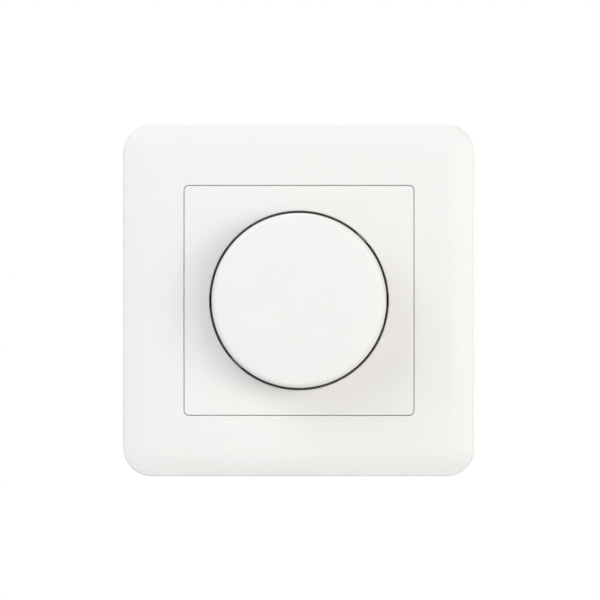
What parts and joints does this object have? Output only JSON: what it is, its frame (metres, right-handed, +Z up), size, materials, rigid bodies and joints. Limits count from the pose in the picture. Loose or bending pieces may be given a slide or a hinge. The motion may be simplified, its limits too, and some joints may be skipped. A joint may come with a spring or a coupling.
{
  "type": "rotary dimmer switch",
  "caption": "Flush-mounted rotary dimmer: square cover frame with crowned edges, square centre plate and a plain round knob, over a box insert with spreading claws.",
  "frame": {"origin": "on the wall surface, where the knob's axis meets it: the centre of the box screw pair", "axes": "+X to the right seen from the front, +Y into the wall, so the knob faces -Y, +Z up"},
  "size_m": [0.0844, 0.042, 0.0844],
  "materials": {
    "white_plastic": "satin moulded thermoplastic",
    "black_plastic": "fine matt moulded thermoplastic",
    "grey_plastic": "matt moulded thermoset",
    "zinc_steel": "bright zinc plate",
    "spring_steel": "bright drawn wire and strip",
    "nickel_brass": "nickel plate",
    "terminal_brass": "bare machined brass",
    "pot_plastic": "matt moulded thermoset",
    "rotor_plastic": "matt moulded acetal",
    "track_board": "printed phenolic board",
    "circuit_board": "lacquered glass epoxy",
    "ferrite": "fired ceramic",
    "copper_wire": "enamelled copper",
    "film_box": "moulded box",
    "can_sleeve": "shrunk sleeve",
    "chip_resin": "moulded resin",
    "fuse_sleeve": "ceramic tube",
    "sink_aluminium": "milled sheet"
  },
  "bodies": {
    "base": {"cover_frame": "white_plastic", "centre_plate": "white_plastic", "support_ring": "zinc_steel", "rear_housing": "grey_plastic", "front_cover": "black_plastic", "lid_screws": "zinc_steel", "pot_case": "pot_plastic", "threaded_neck": "nickel_brass", "neck_washer": "zinc_steel", "neck_nut": "nickel_brass", "resistor_wafer": "track_board", "switch_case": "grey_plastic", "plunger_spring": "spring_steel", "circuit_board": "circuit_board", "choke_core": "ferrite", "choke_winding": "copper_wire", "film_capacitor": "film_box", "electrolytic_capacitor": "can_sleeve", "controller_chip": "chip_resin", "fuse": "fuse_sleeve", "heat_sink": "sink_aluminium", "power_transistors": "chip_resin", "trimmer_body": "pot_plastic", "terminal_blocks": "terminal_brass", "terminal_screws": "zinc_steel"},
    "plunger": {"switch_plunger": "rotor_plastic"},
    "knob": {"rotary_knob": "white_plastic", "knob_clip": "spring_steel", "control_shaft": "zinc_steel"},
    "rotor": {"pot_rotor": "rotor_plastic", "wiper_contact": "spring_steel"},
    "trimmer": {"trimmer_spindle": "rotor_plastic"},
    "claw_screw_left": {"claw_screw_left": "zinc_steel"},
    "claw_screw_right": {"claw_screw_right": "zinc_steel"},
    "claw_left": {"claw_left": "zinc_steel"},
    "claw_right": {"claw_right": "zinc_steel"}
  },
  "joints": [
    {"name": "knob_push", "type": "slide", "parent": "base", "child": "plunger", "axis": [0, 1, 0], "range_m": [0, 0.0015], "stiffness_N_per_m": 2000, "springref_m": -0.001, "deforming": ["plunger_spring"]},
    {"name": "knob_turn", "type": "hinge", "parent": "plunger", "child": "knob", "pos_m": [0, 0, 0], "axis": [0, 1, 0], "range_deg": [0, 270]},
    {"name": "rotor_turn", "type": "hinge", "parent": "base", "child": "rotor", "pos_m": [0, 0, 0], "axis": [0, 1, 0], "range_deg": [0, 270]},
    {"name": "trimmer_turn", "type": "hinge", "parent": "base", "child": "trimmer", "pos_m": [-0.0116, 0, 0], "axis": [0, 1, 0], "range_deg": [0, 240]},
    {"name": "claw_swing_right", "type": "hinge", "parent": "base", "child": "claw_screw_right", "pos_m": [0.0236, -0.00298, 0], "axis": [0, 0, -1], "range_deg": [0, 10]},
    {"name": "claw_draw_right", "type": "slide", "parent": "claw_screw_right", "child": "claw_right", "axis": [0, -1, 0], "range_m": [0, 0.006]},
    {"name": "claw_swing_left", "type": "hinge", "parent": "base", "child": "claw_screw_left", "pos_m": [-0.0236, -0.00298, 0], "axis": [0, 0, 1], "range_deg": [0, 10]},
    {"name": "claw_draw_left", "type": "slide", "parent": "claw_screw_left", "child": "claw_left", "axis": [0, -1, 0], "range_m": [0, 0.006]}
  ],
  "couplings": [
    {"joint": "rotor_turn", "follows": "knob_turn", "ratio": 1},
    {"joint": "claw_swing_right", "follows": "claw_draw_right", "rad_per_m": 29.08},
    {"joint": "claw_swing_left", "follows": "claw_draw_left", "rad_per_m": 29.08}
  ]
}
